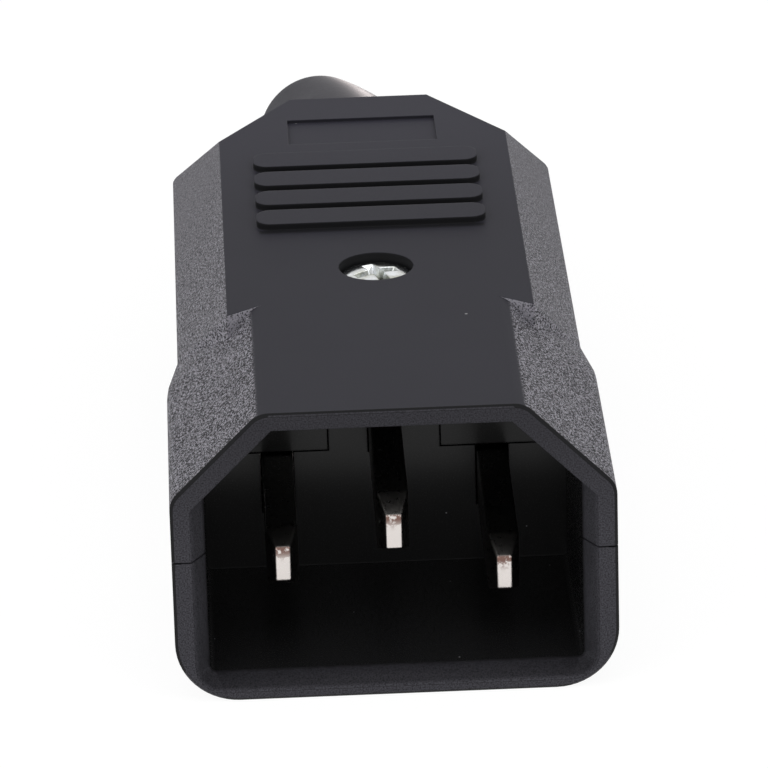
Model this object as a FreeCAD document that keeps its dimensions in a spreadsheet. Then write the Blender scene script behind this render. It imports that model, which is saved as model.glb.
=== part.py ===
"""Rewirable inline power plug with three flat pins in a deep shroud, millimetres.

The origin is the centre of the shroud's mouth: X across the pins, Y from the rim back to the strain relief,
Z up. Z = 0 is the plane in which the two halves of the housing part.
"""
import FreeCAD, Part
import math
import os
import Sketcher

SIZES = {
    # housing, outside
    "shroud_width": 28.0,
    "shroud_flat": 16.6,
    "lower_height": 9.6,
    "upper_height": 9.9,
    "grip_width": 26.5,
    "grip_flat": 19.8,
    "grip_place": 17.9,
    "shoulder_run": 5.0,
    "step_sweep": 1.2,
    "body_length": 57.2,
    "rear_flat": 9.6,
    "rear_cut_run": 8.0,
    "rear_corner_run": 2.7,
    "bottom_round": 4.0,
    "rim_bevel": 0.2,
    "shroud_round": 1.6,
    "seam_gap": 0.1,
    # cavity that takes the mating connector
    "cavity_width": 23.7,
    "cavity_flat": 15.0,
    "cavity_depth": 17.2,
    "cavity_round": 0.4,
    "mouth_round": 1.8,
    "top_wall": 1.1,
    "floor_wall": 1.5,
    "lead_in": 0.9,
    "lead_in_depth": 1.5,
    # wall that carries the pins
    "pin_wall": 2.5,
    "tower_width": 7.2,
    "fit_clearance": 0.1,
    # wiring chamber
    "grip_wall": 1.8,
    "chamber_flat": 16.8,
    "bevel_inset": 0.6,
    "rear_wall": 5.2,
    # ribs and recess on the top
    "rib_width": 15.3,
    "rib_depth": 2.7,
    "rib_height": 0.45,
    "rib_pitch": 3.65,
    "rib_place": 32.7,
    "rib_round": 1.0,
    "recess_width": 10.2,
    "recess_length": 4.8,
    "recess_depth": 0.22,
    "recess_place": 48.1,
    # pins
    "pin_thickness": 2.0,
    "pin_height": 4.0,
    "pin_spacing": 14.0,
    "earth_rise": 4.0,
    "pin_recess": 3.2,
    "earth_recess": 1.2,
    "tip_length": 1.8,
    "tip_thickness": 1.0,
    "tip_height": 2.3,
    "line_lean": 1.5,
    "neutral_lean": -3.1,
    "earth_lean": -2.7,
    # terminals
    "block_width": 5.2,
    "block_height": 5.2,
    "block_length": 8.5,
    "block_gap": 2.3,
    "block_room": 0.55,
    "wire_bore": 3.0,
    "wire_depth": 7.0,
    "tail_thickness": 1.0,
    "tail_clearance": 0.4,
    "terminal_shank": 3.0,
    "terminal_head": 4.4,
    "terminal_head_height": 1.8,
    "seat_clearance": 0.5,
    "seat_inset": 0.6,
    # housing screw
    "screw_place": 24.5,
    "screw_head": 4.5,
    "screw_head_height": 1.8,
    "screw_bevel": 0.5,
    "screw_sink": 0.3,
    "screw_shank": 2.9,
    "screw_length": 13.0,
    "screw_recess": 2.7,
    "boss_width": 5.2,
    "boss_meet": 5.5,
    "boss_shell": 1.2,
    "spare": 0.6,
    # driver slots
    "slot_width": 0.9,
    "slot_depth": 0.9,
    # cord clamp
    "clamp_place": 44.5,
    "clamp_span": 16.4,
    "clamp_boss": 5.0,
    "clamp_bar_width": 6.0,
    "clamp_bar_height": 3.4,
    "clamp_drop": 1.0,
    "clamp_channel": 1.4,
    "clamp_head": 4.6,
    "clamp_head_height": 1.7,
    "clamp_shank": 2.6,
    "clamp_bite": 5.0,
    "saddle_drop": 2.4,
    "saddle_width": 9.0,
    "saddle_length": 4.0,
    # strain relief
    "cord_width": 7.0,
    "cord_room": 0.5,
    "collar_width": 13.0,
    "collar_length": 2.0,
    "lip_length": 1.6,
    "neck_width": 9.9,
    "flange_width": 15.0,
    "flange_length": 1.6,
    "boot_root": 13.8,
    "boot_tip": 10.2,
    "boot_length": 23.2,
    "boot_tilt": 7.2,
    "boot_roll": 44.2,
    "boot_bevel": 0.5,
}
RIB_COUNT = 4
HALF_MITRE = math.tan(math.radians(22.5))
DIAGONAL = math.sqrt(2)
NEAR = 1e-6


class Size:
    """A length that carries its number and the sheet expression it comes from."""

    def __init__(self, value, text):
        self.value = value
        self.text = text

    def __add__(self, other):
        return join_sizes(self, "+", other, self.value + as_size(other).value)

    def __sub__(self, other):
        return join_sizes(self, "-", other, self.value - as_size(other).value)

    def __mul__(self, other):
        return join_sizes(self, "*", other, self.value * as_size(other).value)

    def __truediv__(self, other):
        return join_sizes(self, "/", other, self.value / as_size(other).value)

    def __neg__(self):
        return Size(-self.value, f"(-{self.text})")


def as_size(number):
    """Wrap a plain number so that it mixes with named sizes."""
    return number if isinstance(number, Size) else Size(float(number), f"({float(number)})")


def join_sizes(first, sign, second, value):
    """One size worked out from two others."""
    return Size(value, f"({first.text} {sign} {as_size(second).text})")


class Sizes:
    """The sheet's named sizes as attributes."""

    def __init__(self, sheet, table):
        for row, (name, number) in enumerate(table.items(), start=1):
            sheet.set(f"A{row}", name)
            sheet.set(f"B{row}", str(number))
            sheet.setAlias(f"B{row}", name)
            setattr(self, name, Size(float(number), f"sizes.{name}"))


doc = FreeCAD.newDocument("iec_power_plug")
s = Sizes(doc.addObject("Spreadsheet::Sheet", "sizes"), SIZES)
doc.recompute()

# places worked out from the driving sizes
CENTRE = as_size(0)
SHROUD_HALF = s.shroud_width / 2
GRIP_HALF = s.grip_width / 2
SHOULDER_TOP = s.upper_height - (s.shroud_width - s.shroud_flat) / 2
SHOULDER_END = s.grip_place + s.shoulder_run
STEP_FRONT = s.grip_place - s.step_sweep
REAR_CUT_START = s.body_length - s.rear_cut_run
REAR_CUT_SLOPE = (s.grip_flat - s.rear_flat) / 2 / s.rear_cut_run
REAR_CORNER_START = s.body_length - s.rear_corner_run
REAR_CORNER_HALF = GRIP_HALF - s.rear_corner_run * REAR_CUT_SLOPE
CAVITY_HALF = s.cavity_width / 2
CAVITY_TOP = s.upper_height - s.top_wall
CAVITY_SHOULDER = CAVITY_TOP - (s.cavity_width - s.cavity_flat) / 2
CAVITY_FLOOR = s.floor_wall - s.lower_height
MOUTH_HALF = CAVITY_HALF + s.lead_in
MOUTH_SHOULDER = CAVITY_SHOULDER - s.lead_in
MOUTH_FLOOR = CAVITY_FLOOR - s.lead_in
WALL_BACK = s.cavity_depth + s.pin_wall
WALL_MIDDLE = s.cavity_depth + s.pin_wall / 2
CHAMBER_HALF = GRIP_HALF - s.grip_wall
CHAMBER_TOP = s.upper_height - s.grip_wall
CHAMBER_FLOOR = s.grip_wall - s.lower_height
CHAMBER_END = s.body_length - s.rear_wall
PIN_HALF = s.pin_spacing / 2
PIN_LEVEL = -(s.pin_height / 2 + s.fit_clearance)
PIN_SLOT_BOTTOM = PIN_LEVEL - s.pin_height / 2 - s.fit_clearance
EARTH_LEVEL = PIN_LEVEL + s.earth_rise
EARTH_SLOT_BOTTOM = PIN_SLOT_BOTTOM + s.earth_rise
EARTH_SLOT_TOP = EARTH_LEVEL + s.pin_height / 2 + s.fit_clearance
SLOT_HALF = s.pin_thickness / 2 + s.fit_clearance
TONGUE_HALF = s.pin_thickness / 2
TOWER_HALF = s.tower_width / 2
HEAD_SEAT = s.upper_height - s.screw_sink - s.screw_head_height
CLAMP_SEAT = -s.clamp_drop
GROOVE_END = s.body_length - s.lip_length
GROOVE_START = GROOVE_END - s.collar_length - s.fit_clearance * 2
# along the earth contact, from the middle of the pin wall
BOSS_ALONG = s.screw_place - WALL_MIDDLE
TAIL_SIDESTEP = s.boss_width / 2 + s.tail_clearance + s.tail_thickness / 2
TAIL_LEAVES = BOSS_ALONG - TAIL_SIDESTEP * DIAGONAL
EARTH_BLOCK_ALONG = BOSS_ALONG * 2 - TAIL_LEAVES + s.spare
PIN_BLOCK_ALONG = s.pin_wall / 2 + s.block_gap
PIN_BLOCK_ACROSS = CHAMBER_HALF - s.block_room - s.block_width / 2


# sketches

def new_body(name):
    """A body whose label names its piece."""
    body = doc.addObject("PartDesign::Body", name)
    body.Label = name
    return body


def new_sketch(body, plane, offset=CENTRE):
    """A sketch on one of the body's own origin planes, moved along +X, +Y or +Z."""
    sketch = body.newObject("Sketcher::SketchObject", f"{body.Name}_sketch")
    planes = {feature.Role: feature for feature in body.Origin.OriginFeatures}
    sketch.AttachmentSupport = [(planes[plane], "")]
    sketch.MapMode = "FlatFace"
    along_normal = -offset if faces_back(sketch) else offset
    sketch.setExpression("AttachmentOffset.Base.z", along_normal.text)
    return sketch


def faces_back(sketch):
    """True for a sketch on the XZ plane, whose normal points to -Y."""
    return sketch.AttachmentSupport[0][0].Role == "XZ_Plane"


def hold(sketch, kind, size, *ends):
    """Add one dimension and bind it to its named size."""
    index = sketch.addConstraint(Sketcher.Constraint(kind, *ends, size.value))
    sketch.setExpression(f"Constraints[{index}]", size.text)


def hold_point(sketch, geometry, end, point):
    """Hold a point of the sketch at its place from the sketch's origin."""
    hold(sketch, "DistanceX", point[0], -1, 1, geometry, end)
    hold(sketch, "DistanceY", point[1], -1, 1, geometry, end)


def vector(point):
    """A sketch point as a vector."""
    return FreeCAD.Vector(point[0].value, point[1].value, 0)


def step_towards(corner, other, radius):
    """The place on a level or upright side, one radius from its corner."""
    moved = []
    for here, there in zip(corner, other):
        gap = there.value - here.value
        if abs(gap) < NEAR:
            moved.append(here)
        else:
            moved.append(here + radius if gap > 0 else here - radius)
    return tuple(moved)


def outline_stops(corners):
    """Split an outline into the starts of its sides, each with the corner and radius of an arc or None."""
    corners = [tuple(as_size(value) for value in corner) for corner in corners]
    stops = []
    for index, corner in enumerate(corners):
        place = corner[:2]
        if len(corner) == 2:
            stops.append((place, None))
            continue
        before = corners[index - 1][:2]
        after = corners[(index + 1) % len(corners)][:2]
        stops.append((step_towards(place, before, corner[2]), (place, corner[2])))
        stops.append((step_towards(place, after, corner[2]), None))
    return stops


def draw_outline(sketch, *corners):
    """Draw a closed outline; a corner with a third value is a square one rounded by that radius."""
    stops = outline_stops(corners)
    first = sketch.GeometryCount
    ends = []
    for index, (start, rounding) in enumerate(stops):
        finish = vector(stops[(index + 1) % len(stops)][0])
        begin = vector(start)
        if rounding is None:
            sketch.addGeometry(Part.LineSegment(begin, finish))
            ends.append((1, 2))
            continue
        corner = vector(rounding[0])
        centre = begin + finish - corner
        middle = centre + (corner - centre).normalize() * rounding[1].value
        sketch.addGeometry(Part.Arc(begin, middle, finish))
        turns_left = (corner - begin).cross(finish - corner).z > 0
        ends.append((1, 2) if turns_left else (2, 1))
    for index, (start, rounding) in enumerate(stops):
        following = (index + 1) % len(stops)
        sketch.addConstraint(Sketcher.Constraint(
            "Coincident", first + index, ends[index][1], first + following, ends[following][0]))
        hold_point(sketch, first + index, ends[index][0], start)
        if rounding is not None:
            hold(sketch, "Radius", rounding[1], first + index)


def draw_box(sketch, left, right, low, high, *radius):
    """Draw a rectangle, with its four corners rounded where a radius is given."""
    draw_outline(sketch, (left, low, *radius), (right, low, *radius), (right, high, *radius),
                 (left, high, *radius))


def draw_circle(sketch, across, centre=(CENTRE, CENTRE)):
    """Draw a circle of a given width."""
    index = sketch.addGeometry(Part.Circle(vector(centre), FreeCAD.Vector(0, 0, 1), across.value / 2))
    hold_point(sketch, index, 3, centre)
    hold(sketch, "Diameter", across, index)


# features

def extrude(sketch, length, cut=False, backwards=False):
    """Pad or pocket a sketch along +X, +Y or +Z, or the other way."""
    body = sketch.getParentGeoFeatureGroup()
    feature = body.newObject("PartDesign::Pocket" if cut else "PartDesign::Pad", f"{body.Name}_feature")
    feature.Profile = sketch
    feature.Reversed = (faces_back(sketch) != cut) != backwards
    feature.setExpression("Length", length.text)
    return feature


def loft(sketches, cut=False):
    """Join sketches by flat sides, or cut that form out."""
    body = sketches[0].getParentGeoFeatureGroup()
    kind = "PartDesign::SubtractiveLoft" if cut else "PartDesign::AdditiveLoft"
    feature = body.newObject(kind, f"{body.Name}_feature")
    feature.Profile = sketches[0]
    feature.Sections = sketches[1:]
    feature.Ruled = True
    return feature


def spin(sketch, cut=False):
    """Turn a profile once round the sketch's upright axis."""
    body = sketch.getParentGeoFeatureGroup()
    kind = "PartDesign::Groove" if cut else "PartDesign::Revolution"
    feature = body.newObject(kind, f"{body.Name}_feature")
    feature.Profile = sketch
    feature.ReferenceAxis = (sketch, ["V_Axis"])
    feature.Angle = 360
    return feature


def break_edges(body, size, chosen, bevel=False):
    """Round or bevel the edges of the body's newest feature that the test picks."""
    doc.recompute()
    base = body.Tip
    names = [f"Edge{index}" for index, edge in enumerate(base.Shape.Edges, start=1) if chosen(edge)]
    feature = body.newObject("PartDesign::Chamfer" if bevel else "PartDesign::Fillet", f"{body.Name}_feature")
    feature.Base = (base, names)
    feature.setExpression("Size" if bevel else "Radius", size.text)


# housing

def mirrored(half):
    """A whole outline from its right half, listed from the bottom up or from the front back."""
    return [*half, *((-as_size(corner[0]), *corner[1:]) for corner in reversed(half))]


def cut_boot_seat(body):
    """Cut the stepped round seat of the strain relief about the parting plane."""
    cord_half = s.cord_width / 2 + s.cord_room
    collar_half = s.collar_width / 2 + s.fit_clearance
    neck_half = s.neck_width / 2 + s.fit_clearance
    profile = new_sketch(body, "XY_Plane")
    draw_outline(profile, (0, CHAMBER_END - s.spare), (cord_half, CHAMBER_END - s.spare),
                 (cord_half, GROOVE_START), (collar_half, GROOVE_START), (collar_half, GROOVE_END),
                 (neck_half, GROOVE_END), (neck_half, s.body_length + s.spare), (0, s.body_length + s.spare))
    spin(profile, cut=True)


def frames_rim(edge):
    """True for an edge on the outer outline of the rim's front face."""
    return all(abs(corner.Y) < NEAR and (
        abs(corner.X) > MOUTH_HALF.value + NEAR or corner.Z > CAVITY_TOP.value + NEAR
        or corner.Z < MOUTH_FLOOR.value - NEAR
        or abs(corner.X) + corner.Z > (MOUTH_HALF + MOUTH_SHOULDER).value + NEAR) for corner in edge.Vertexes)


def runs_along_shroud(edge):
    """True for an edge of the shroud's bevels that starts at the rim."""
    ends = sorted(corner.Y for corner in edge.Vertexes)
    return abs(ends[0]) < NEAR and ends[-1] > NEAR and all(
        abs(corner.Z - SHOULDER_TOP.value) < NEAR or abs(corner.Z - s.upper_height.value) < NEAR
        for corner in edge.Vertexes)


def make_upper_housing():
    """Upper half: shroud roof, bevelled grip with ribs and recess, screw boss and the tabs over the pins."""
    body = new_body("upper_housing")

    base = new_sketch(body, "XY_Plane", s.seam_gap)
    draw_outline(base, *mirrored([
        (SHROUD_HALF, 0), (SHROUD_HALF, s.grip_place), (GRIP_HALF, SHOULDER_END),
        (GRIP_HALF, REAR_CORNER_START), (REAR_CORNER_HALF, s.body_length)]))
    extrude(base, SHOULDER_TOP - s.seam_gap)

    grip_low = new_sketch(body, "XY_Plane", SHOULDER_TOP)
    draw_outline(grip_low, *mirrored([
        (GRIP_HALF, STEP_FRONT), (GRIP_HALF, REAR_CORNER_START), (REAR_CORNER_HALF, s.body_length)]))
    grip_high = new_sketch(body, "XY_Plane", s.upper_height)
    draw_outline(grip_high, *mirrored([
        (s.grip_flat / 2, STEP_FRONT), (s.grip_flat / 2, REAR_CUT_START), (s.rear_flat / 2, s.body_length)]))
    loft([grip_low, grip_high])
    step = new_sketch(body, "XY_Plane", s.upper_height)
    for side in (-1, 1):
        draw_outline(step, *[(across * side, along) for across, along in (
            (s.shroud_flat / 2, s.grip_place), (s.grip_flat / 2, STEP_FRONT), (GRIP_HALF, SHOULDER_END),
            (SHROUD_HALF, SHOULDER_END), (SHROUD_HALF, STEP_FRONT - s.spare),
            (s.shroud_flat / 2, STEP_FRONT - s.spare))])
    extrude(step, s.upper_height - SHOULDER_TOP, cut=True, backwards=True)

    shroud_roof = mirrored([(SHROUD_HALF, SHOULDER_TOP), (s.shroud_flat / 2, s.upper_height)])
    front = new_sketch(body, "XZ_Plane")
    draw_outline(front, *shroud_roof)
    extrude(front, s.grip_place)

    shoulder_front = new_sketch(body, "XZ_Plane", s.grip_place)
    draw_outline(shoulder_front, *shroud_roof)
    shoulder_back = new_sketch(body, "XZ_Plane", SHOULDER_END)
    draw_outline(shoulder_back, *mirrored([(GRIP_HALF, SHOULDER_TOP), (s.shroud_flat / 2, s.upper_height)]))
    loft([shoulder_front, shoulder_back])
    break_edges(body, s.shroud_round, runs_along_shroud)

    cavity = mirrored([(CAVITY_HALF, 0), (CAVITY_HALF, CAVITY_SHOULDER), (s.cavity_flat / 2, CAVITY_TOP)])
    mouth = new_sketch(body, "XZ_Plane")
    draw_outline(mouth, *cavity)
    extrude(mouth, s.cavity_depth, cut=True)
    wide_mouth = new_sketch(body, "XZ_Plane")
    draw_outline(wide_mouth, *mirrored([
        (MOUTH_HALF, 0), (MOUTH_HALF, MOUTH_SHOULDER), (s.cavity_flat / 2, CAVITY_TOP)]))
    lead_end = new_sketch(body, "XZ_Plane", s.lead_in_depth)
    draw_outline(lead_end, *cavity)
    loft([wide_mouth, lead_end], cut=True)

    chamber = new_sketch(body, "XZ_Plane", WALL_BACK)
    draw_outline(chamber, *mirrored([
        (CHAMBER_HALF, 0), (CHAMBER_HALF, SHOULDER_TOP - s.bevel_inset), (s.chamber_flat / 2, CHAMBER_TOP)]))
    extrude(chamber, CHAMBER_END - WALL_BACK, cut=True)

    tower_room = new_sketch(body, "XZ_Plane", s.cavity_depth)
    room_half = TOWER_HALF + s.fit_clearance
    draw_outline(tower_room, (-room_half, 0), (room_half, 0), (room_half, CAVITY_TOP),
                 (TONGUE_HALF, CAVITY_TOP), (TONGUE_HALF, EARTH_SLOT_TOP), (-TONGUE_HALF, EARTH_SLOT_TOP),
                 (-TONGUE_HALF, CAVITY_TOP), (-room_half, CAVITY_TOP))
    extrude(tower_room, s.pin_wall, cut=True)

    screw_centre = (CENTRE, s.screw_place)
    head_hole = s.screw_head + s.fit_clearance * 4
    boss = new_sketch(body, "XY_Plane", s.boss_meet)
    draw_circle(boss, head_hole + s.boss_shell * 2, screw_centre)
    extrude(boss, CHAMBER_TOP + s.grip_wall / 2 - s.boss_meet)
    counterbore = new_sketch(body, "XY_Plane", s.upper_height)
    draw_circle(counterbore, head_hole, screw_centre)
    extrude(counterbore, s.upper_height - HEAD_SEAT, cut=True, backwards=True)
    shank_hole = new_sketch(body, "XY_Plane", s.upper_height)
    draw_circle(shank_hole, s.screw_shank + s.fit_clearance * 2, screw_centre)
    extrude(shank_hole, s.upper_height - s.boss_meet + s.spare, cut=True, backwards=True)

    cut_boot_seat(body)

    recess = new_sketch(body, "XY_Plane", s.upper_height)
    draw_box(recess, -s.recess_width / 2, s.recess_width / 2, s.recess_place,
             s.recess_place + s.recess_length)
    extrude(recess, s.recess_depth, cut=True, backwards=True)

    rib = new_sketch(body, "XY_Plane", s.upper_height - s.fit_clearance)
    draw_box(rib, -s.rib_width / 2, s.rib_width / 2, s.rib_place, s.rib_place + s.rib_depth, s.rib_round)
    rib_pad = extrude(rib, s.rib_height + s.fit_clearance)
    ribs = body.newObject("PartDesign::LinearPattern", "upper_housing_ribs")
    ribs.Originals = [rib_pad]
    ribs.Direction = (rib, ["V_Axis"])
    ribs.setExpression("Length", (s.rib_pitch * (RIB_COUNT - 1)).text)
    ribs.Occurrences = RIB_COUNT
    body.Tip = ribs
    break_edges(body, s.rim_bevel, frames_rim, bevel=True)


def make_lower_housing():
    """Lower half: shroud floor, pin wall and tower, screw boss, terminal seats and cord saddle."""
    body = new_body("lower_housing")
    shroud = mirrored([(SHROUD_HALF, -s.lower_height, s.bottom_round), (SHROUD_HALF, 0)])
    grip = mirrored([(GRIP_HALF, -s.lower_height, s.bottom_round), (GRIP_HALF, 0)])
    front = new_sketch(body, "XZ_Plane")
    draw_outline(front, *shroud)
    extrude(front, s.grip_place)
    shoulder_front = new_sketch(body, "XZ_Plane", s.grip_place)
    draw_outline(shoulder_front, *shroud)
    shoulder_back = new_sketch(body, "XZ_Plane", SHOULDER_END)
    draw_outline(shoulder_back, *grip)
    loft([shoulder_front, shoulder_back])
    rear = new_sketch(body, "XZ_Plane", SHOULDER_END)
    draw_outline(rear, *grip)
    extrude(rear, s.body_length - SHOULDER_END)

    corners = new_sketch(body, "XY_Plane")
    beyond = s.body_length + s.spare
    for side in (1, -1):
        outside = (GRIP_HALF + s.spare) * side
        draw_outline(corners, (GRIP_HALF * side, REAR_CORNER_START), (outside, REAR_CORNER_START),
                     (outside, beyond), (REAR_CORNER_HALF * side, beyond),
                     (REAR_CORNER_HALF * side, s.body_length))
    extrude(corners, s.lower_height + s.spare, cut=True, backwards=True)

    cavity = mirrored([(CAVITY_HALF, CAVITY_FLOOR, s.cavity_round), (CAVITY_HALF, s.spare)])
    mouth = new_sketch(body, "XZ_Plane")
    draw_outline(mouth, *cavity)
    extrude(mouth, s.cavity_depth, cut=True)
    wide_mouth = new_sketch(body, "XZ_Plane")
    draw_outline(wide_mouth, *mirrored([(MOUTH_HALF, MOUTH_FLOOR, s.mouth_round), (MOUTH_HALF, s.spare)]))
    lead_end = new_sketch(body, "XZ_Plane", s.lead_in_depth)
    draw_outline(lead_end, *cavity)
    loft([wide_mouth, lead_end], cut=True)

    chamber = new_sketch(body, "XZ_Plane", WALL_BACK)
    draw_outline(chamber, *mirrored([
        (CHAMBER_HALF, CHAMBER_FLOOR, s.cavity_round), (CHAMBER_HALF, s.spare)]))
    extrude(chamber, CHAMBER_END - WALL_BACK, cut=True)

    tower = new_sketch(body, "XZ_Plane", s.cavity_depth)
    draw_box(tower, -TOWER_HALF, TOWER_HALF, -s.spare, CAVITY_TOP - s.fit_clearance)
    extrude(tower, s.pin_wall)
    slots = new_sketch(body, "XZ_Plane", s.cavity_depth)
    for place in (-PIN_HALF, PIN_HALF):
        draw_box(slots, place - SLOT_HALF, place + SLOT_HALF, PIN_SLOT_BOTTOM, s.spare)
    draw_box(slots, -SLOT_HALF, SLOT_HALF, EARTH_SLOT_BOTTOM, CAVITY_TOP)
    extrude(slots, s.pin_wall, cut=True)

    sunk_floor = CHAMBER_FLOOR - s.fit_clearance
    screw_centre = (CENTRE, s.screw_place)
    boss = new_sketch(body, "XY_Plane", sunk_floor)
    draw_circle(boss, s.boss_width, screw_centre)
    extrude(boss, s.boss_meet - sunk_floor)
    pilot = new_sketch(body, "XY_Plane", s.boss_meet)
    draw_circle(pilot, s.screw_shank + s.fit_clearance, screw_centre)
    extrude(pilot, s.boss_meet - HEAD_SEAT + s.screw_length + s.spare, cut=True, backwards=True)

    seat_half = s.block_width / 2 - s.seat_inset
    pin_seat = new_sketch(body, "XY_Plane", sunk_floor)
    pin_block = WALL_MIDDLE + PIN_BLOCK_ALONG
    for side in (-1, 1):
        middle = PIN_BLOCK_ACROSS * side
        draw_box(pin_seat, middle - seat_half, middle + seat_half, pin_block + s.seat_inset,
                 pin_block + s.block_length - s.seat_inset)
    seat_drop = s.block_height / 2 + s.seat_clearance
    extrude(pin_seat, PIN_LEVEL - seat_drop - sunk_floor)
    earth_seat = new_sketch(body, "XY_Plane", sunk_floor)
    earth_block = WALL_MIDDLE + EARTH_BLOCK_ALONG
    draw_box(earth_seat, -seat_half, seat_half, earth_block + s.seat_inset,
             earth_block + s.block_length - s.seat_inset)
    extrude(earth_seat, EARTH_LEVEL - seat_drop - sunk_floor)

    clamp_bosses = new_sketch(body, "XY_Plane", sunk_floor)
    clamp_pilots = new_sketch(body, "XY_Plane", CLAMP_SEAT)
    for side in (-1, 1):
        clamp_centre = (s.clamp_span / 2 * side, s.clamp_place)
        draw_circle(clamp_bosses, s.clamp_boss, clamp_centre)
        draw_circle(clamp_pilots, s.clamp_shank + s.fit_clearance, clamp_centre)
    extrude(clamp_bosses, CLAMP_SEAT - sunk_floor)
    extrude(clamp_pilots, s.clamp_bite + s.spare, cut=True, backwards=True)

    saddle_front = s.clamp_place - s.saddle_length / 2
    saddle = new_sketch(body, "XY_Plane", sunk_floor)
    draw_box(saddle, -s.saddle_width / 2, s.saddle_width / 2, saddle_front, saddle_front + s.saddle_length)
    extrude(saddle, -s.saddle_drop - sunk_floor)
    channel = new_sketch(body, "XZ_Plane", saddle_front - s.spare)
    draw_circle(channel, s.cord_width)
    extrude(channel, s.saddle_length + s.spare * 2, cut=True)

    cut_boot_seat(body)
    break_edges(body, s.rim_bevel, frames_rim, bevel=True)


# contacts and screws

def contact_place(across, level, lean):
    """Where a contact sits: at the middle of the pin wall, leaning about its slot."""
    return FreeCAD.Placement(FreeCAD.Vector(across.value, WALL_MIDDLE.value, level.value),
                             FreeCAD.Rotation(FreeCAD.Vector(1, 0, 0), -lean.value))


def add_blade(body, recess, end):
    """The flat pin from its tapered tip to a place behind the pin wall."""
    half_width = s.pin_thickness / 2
    half_height = s.pin_height / 2
    tip = recess - WALL_MIDDLE
    blade = new_sketch(body, "XZ_Plane", tip + s.tip_length)
    draw_box(blade, -half_width, half_width, -half_height, half_height)
    extrude(blade, end - tip - s.tip_length)
    root = new_sketch(body, "XZ_Plane", tip + s.tip_length)
    draw_box(root, -half_width, half_width, -half_height, half_height)
    point = new_sketch(body, "XZ_Plane", tip)
    draw_box(point, -s.tip_thickness / 2, s.tip_thickness / 2, -s.tip_height / 2, s.tip_height / 2)
    loft([root, point])


def add_block(body, across, along):
    """The terminal block with its wire bore from behind and its screw hole from above."""
    half_height = s.block_height / 2
    block = new_sketch(body, "XZ_Plane", along)
    draw_box(block, across - s.block_width / 2, across + s.block_width / 2, -half_height, half_height)
    extrude(block, s.block_length)
    wire = new_sketch(body, "XZ_Plane", along + s.block_length)
    draw_circle(wire, s.wire_bore, (across, CENTRE))
    extrude(wire, s.wire_depth, cut=True, backwards=True)
    thread = new_sketch(body, "XY_Plane", half_height)
    draw_circle(thread, s.terminal_shank + s.fit_clearance, (across, along + s.block_length / 2))
    extrude(thread, half_height, cut=True, backwards=True)


def make_screw(name, head, head_height, shank, length, bevel=None):
    """A screw that stands on its head's underside, with the head above and the shank below."""
    body = new_body(name)
    profile = new_sketch(body, "XZ_Plane")
    rim = [(head / 2, head_height)]
    if bevel is not None:
        rim = [(head / 2, head_height - bevel), (head / 2 - bevel, head_height)]
    draw_outline(profile, (0, -length), (shank / 2, -length), (shank / 2, 0), (head / 2, 0), *rim,
                 (0, head_height))
    spin(profile)
    return body


def cut_slot(body, head, head_height, cross=False):
    """A driver slot across the head, or two that cross."""
    slot = new_sketch(body, "XY_Plane", head_height)
    reach = head / 2
    half = s.slot_width / 2
    if cross:
        draw_outline(slot, (half, half), (half, reach), (-half, reach), (-half, half), (-reach, half),
                     (-reach, -half), (-half, -half), (-half, -reach), (half, -reach), (half, -half),
                     (reach, -half), (reach, half))
    else:
        draw_box(slot, -reach, reach, -half, half)
    extrude(slot, s.slot_depth, cut=True, backwards=True)


def make_terminal_screw(name, place, across, along):
    """A slotted terminal screw seated on its block."""
    body = make_screw(name, s.terminal_head, s.terminal_head_height, s.terminal_shank, s.block_height / 2)
    cut_slot(body, s.terminal_head + s.spare, s.terminal_head_height)
    middle = along + s.block_length / 2
    seat = FreeCAD.Vector(across.value, middle.value, s.block_height.value / 2)
    body.Placement = place * FreeCAD.Placement(seat, FreeCAD.Rotation())


def make_side_contact(name, side, lean):
    """A line or neutral contact: pin and terminal block in one, with its screw."""
    body = new_body(f"{name}_pin")
    offset = (PIN_BLOCK_ACROSS - PIN_HALF) * side
    add_blade(body, s.pin_recess, PIN_BLOCK_ALONG)
    add_block(body, offset, PIN_BLOCK_ALONG)
    body.Placement = contact_place(PIN_HALF * side, PIN_LEVEL, lean)
    make_terminal_screw(f"{name}_terminal_screw", body.Placement, offset, PIN_BLOCK_ALONG)


def make_earth_contact():
    """The middle contact: a longer pin whose thin tail goes round the screw boss to its terminal block."""
    body = new_body("earth_pin")
    add_blade(body, s.earth_recess, s.pin_wall / 2)
    half = s.tail_thickness / 2
    mitre = half * HALF_MITRE
    comes_back = BOSS_ALONG * 2 - TAIL_LEAVES
    turn = TAIL_LEAVES + TAIL_SIDESTEP
    turn_back = BOSS_ALONG * 2 - turn
    tail = new_sketch(body, "XY_Plane", -s.pin_height / 2)
    draw_outline(tail, (half, 0), (half, TAIL_LEAVES - mitre), (TAIL_SIDESTEP + half, turn - mitre),
                 (TAIL_SIDESTEP + half, turn_back + mitre), (half, comes_back + mitre),
                 (half, EARTH_BLOCK_ALONG + s.spare), (-half, EARTH_BLOCK_ALONG + s.spare),
                 (-half, comes_back - mitre), (TAIL_SIDESTEP - half, turn_back - mitre),
                 (TAIL_SIDESTEP - half, turn + mitre), (-half, TAIL_LEAVES + mitre), (-half, 0))
    extrude(tail, s.pin_height)
    add_block(body, CENTRE, EARTH_BLOCK_ALONG)
    body.Placement = contact_place(CENTRE, EARTH_LEVEL, s.earth_lean)
    make_terminal_screw("earth_terminal_screw", body.Placement, CENTRE, EARTH_BLOCK_ALONG)


def make_housing_screw():
    """The cross-recess screw that closes the housing."""
    body = make_screw("housing_screw", s.screw_head, s.screw_head_height, s.screw_shank, s.screw_length,
                      s.screw_bevel)
    cut_slot(body, s.screw_recess, s.screw_head_height, cross=True)
    body.Placement.Base = FreeCAD.Vector(0, s.screw_place.value, HEAD_SEAT.value)


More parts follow.
